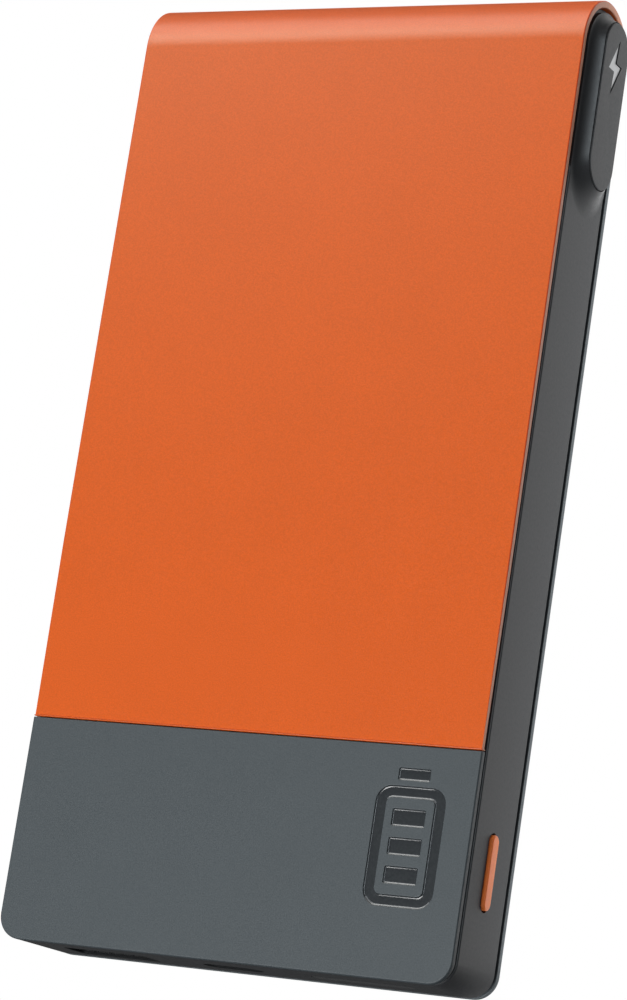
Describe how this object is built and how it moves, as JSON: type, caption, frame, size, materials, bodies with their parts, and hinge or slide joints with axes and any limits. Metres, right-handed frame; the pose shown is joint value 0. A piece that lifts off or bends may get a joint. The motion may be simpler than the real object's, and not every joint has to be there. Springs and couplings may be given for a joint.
{
  "type": "pocket power bank",
  "caption": "Slim pocket power bank with a folded metal sleeve, moulded frame, side push button, oval side boss, sockets and a light window in one end.",
  "frame": {"origin": "centre of the flat back face, midway along the body's length and width, without the side boss", "axes": "+X across the width towards the face with the button and the boss, +Y along the length towards the full-round end, +Z through the thickness towards the front"},
  "size_m": [0.0759, 0.1478, 0.0166],
  "materials": {
    "orange_aluminium": "fine-blasted, orange anodised",
    "slate_cover": "fine-textured slate grey",
    "graphite_plastic": "satin moulded graphite grey",
    "bright_metal": "satin",
    "orange_button": "satin",
    "black_moulding": "matte moulded",
    "smoked_window": "smoked, glossy",
    "clear_plastic": "clear moulded",
    "lamp_white": "glossy",
    "socket_steel": "bright rolled",
    "contact_gold": "gold plated",
    "board_green": "solder mask",
    "ferrite": "matte",
    "capacitor_case": "moulded",
    "chip_ceramic": "fired",
    "fish_paper": "smooth",
    "cell_foil": "laminated foil",
    "film": "tape",
    "film_black": "tape",
    "foam": "closed-cell foam",
    "nickel": "nickel strip",
    "lead_red": "insulated wire"
  },
  "bodies": {
    "bank": {"sleeve": "orange_aluminium", "front_panel": "slate_cover", "rear_cover": "slate_cover", "chassis": "graphite_plastic", "boss_badge": "bright_metal", "tact_switch": "black_moulding", "led_window": "smoked_window", "light_guide": "clear_plastic", "indicator_leds": "lamp_white", "usb_a_shell": "socket_steel", "usb_a_tongue": "black_moulding", "usb_a_contacts": "contact_gold", "usb_c_shell": "socket_steel", "usb_c_tongue": "black_moulding", "usb_c_contacts": "contact_gold", "circuit_board": "board_green", "board_screws": "socket_steel", "power_inductor": "ferrite", "controller_chip": "black_moulding", "power_transistors": "black_moulding", "bulk_capacitors": "capacitor_case", "chip_passives": "chip_ceramic", "insulation_sheet": "fish_paper", "cell_front": "cell_foil", "cell_rear": "cell_foil", "cell_tape": "film", "foam_pad_front": "foam", "foam_pad_rear": "foam", "battery_tabs": "nickel", "thermistor_bead": "black_moulding", "thermistor_leads": "lead_red", "front_adhesive": "film_black", "rear_adhesive": "film_black"},
    "button": {"power_button": "orange_button"},
    "plunger": {"switch_plunger": "black_moulding"}
  },
  "joints": [
    {"name": "button_press", "type": "slide", "parent": "bank", "child": "button", "axis": [-1, 0, 0], "range_m": [0, 0.0004], "stiffness_N_per_m": 3000, "springref_m": -0.0001},
    {"name": "plunger_press", "type": "slide", "parent": "bank", "child": "plunger", "axis": [-1, 0, 0], "range_m": [0, 0.0004]}
  ],
  "couplings": [
    {"joint": "plunger_press", "follows": "button_press", "ratio": 1}
  ]
}
